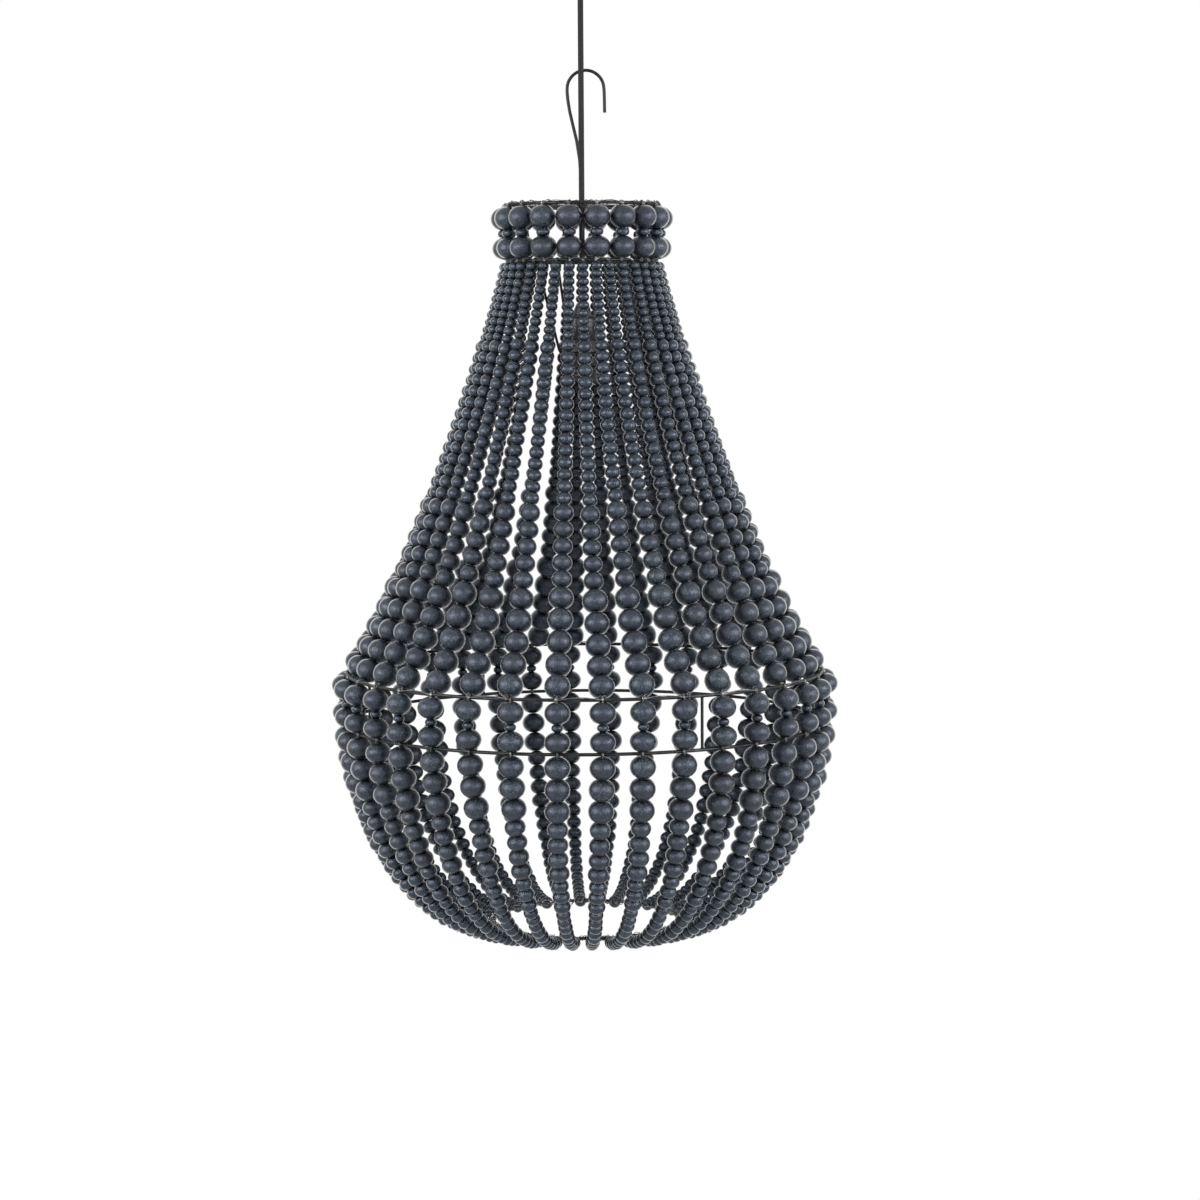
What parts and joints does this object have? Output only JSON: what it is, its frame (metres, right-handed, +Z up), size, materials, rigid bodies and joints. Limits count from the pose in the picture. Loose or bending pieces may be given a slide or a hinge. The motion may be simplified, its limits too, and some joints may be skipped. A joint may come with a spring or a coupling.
{
  "type": "beaded chandelier",
  "caption": "Pendant of dark wooden bead strings that flare from a wire crown to a wide belt and curve in to a bottom ring, with a lamp holder, hook, cord and ceiling cup.",
  "frame": {"origin": "middle of the ceiling bracket's upper face, which lies against the ceiling", "axes": "+Z up out of the ceiling face, with the pendant hanging along -Z; -Y is the front seen in the picture, +X is to its right"},
  "size_m": [0.4526, 0.4526, 0.8896],
  "materials": {
    "beads": "matte charcoal blue-grey stain on turned wood",
    "frame_wire": "dark lacquered wire, worn a little brown",
    "hook_wire": "satin black",
    "bakelite": "dark moulded, half gloss",
    "cord_sheath": "dark grey sheath, half matte",
    "cup_paint": "dark grey powder coat",
    "brass": "bright drawn brass",
    "zinc": "zinc plated",
    "terminal_plastic": "off-white moulded"
  },
  "bodies": {
    "fixture": {"ceiling_bracket": "zinc", "canopy_cup": "cup_paint", "canopy_screw": "zinc", "terminal_block": "terminal_plastic"},
    "grip": {"cord_grip": "bakelite"},
    "pendant": {"cord": "cord_sheath", "crown_frame": "frame_wire", "belt_frame": "frame_wire", "bottom_ring": "frame_wire", "lamp_spider": "frame_wire", "holder_cap": "bakelite", "holder_body": "bakelite", "contact_insert": "brass", "collar_beads_01": "beads", "collar_beads_02": "beads", "collar_beads_03": "beads", "collar_beads_04": "beads", "collar_beads_05": "beads", "collar_beads_06": "beads", "collar_beads_07": "beads", "collar_beads_08": "beads", "collar_beads_09": "beads", "upper_strands_01": "beads", "upper_strands_02": "beads", "upper_strands_03": "beads", "upper_strands_04": "beads", "upper_strands_05": "beads", "upper_strands_06": "beads", "upper_strands_07": "beads", "upper_strands_08": "beads", "upper_strands_09": "beads", "upper_strands_10": "beads", "upper_strands_11": "beads", "upper_strands_12": "beads", "upper_strands_13": "beads", "upper_strands_14": "beads", "upper_strands_15": "beads", "upper_strands_16": "beads", "upper_strands_17": "beads", "upper_strands_18": "beads", "lower_strands_01": "beads", "lower_strands_02": "beads", "lower_strands_03": "beads", "lower_strands_04": "beads", "lower_strands_05": "beads", "lower_strands_06": "beads", "lower_strands_07": "beads", "lower_strands_08": "beads", "lower_strands_09": "beads", "lower_strands_10": "beads", "lower_strands_11": "beads", "lower_strands_12": "beads", "lower_strands_13": "beads", "lower_strands_14": "beads", "lower_strands_15": "beads", "lower_strands_16": "beads", "lower_strands_17": "beads", "lower_strands_18": "beads"},
    "hook": {"hanging_hook": "hook_wire"},
    "clamp": {"shade_ring": "bakelite"}
  },
  "joints": [
    {"name": "pendant_twist", "type": "hinge", "parent": "fixture", "child": "grip", "pos_m": [0, 0, -0.042], "axis": [0, 0, 1], "range_deg": [-90, 90]},
    {"name": "pendant_swing", "type": "hinge", "parent": "grip", "child": "pendant", "pos_m": [0, 0, -0.0571], "axis": [0, 1, 0], "range_deg": [-15, 15]},
    {"name": "hook_swivel", "type": "hinge", "parent": "pendant", "child": "hook", "pos_m": [0, 0.0075, -0.242], "axis": [0, 0, 1], "range_deg": [-50, 50]},
    {"name": "shade_ring_turn", "type": "hinge", "parent": "pendant", "child": "clamp", "pos_m": [0, 0, -0.378], "axis": [0, 0, 1], "range_deg": [0, 1080]}
  ]
}
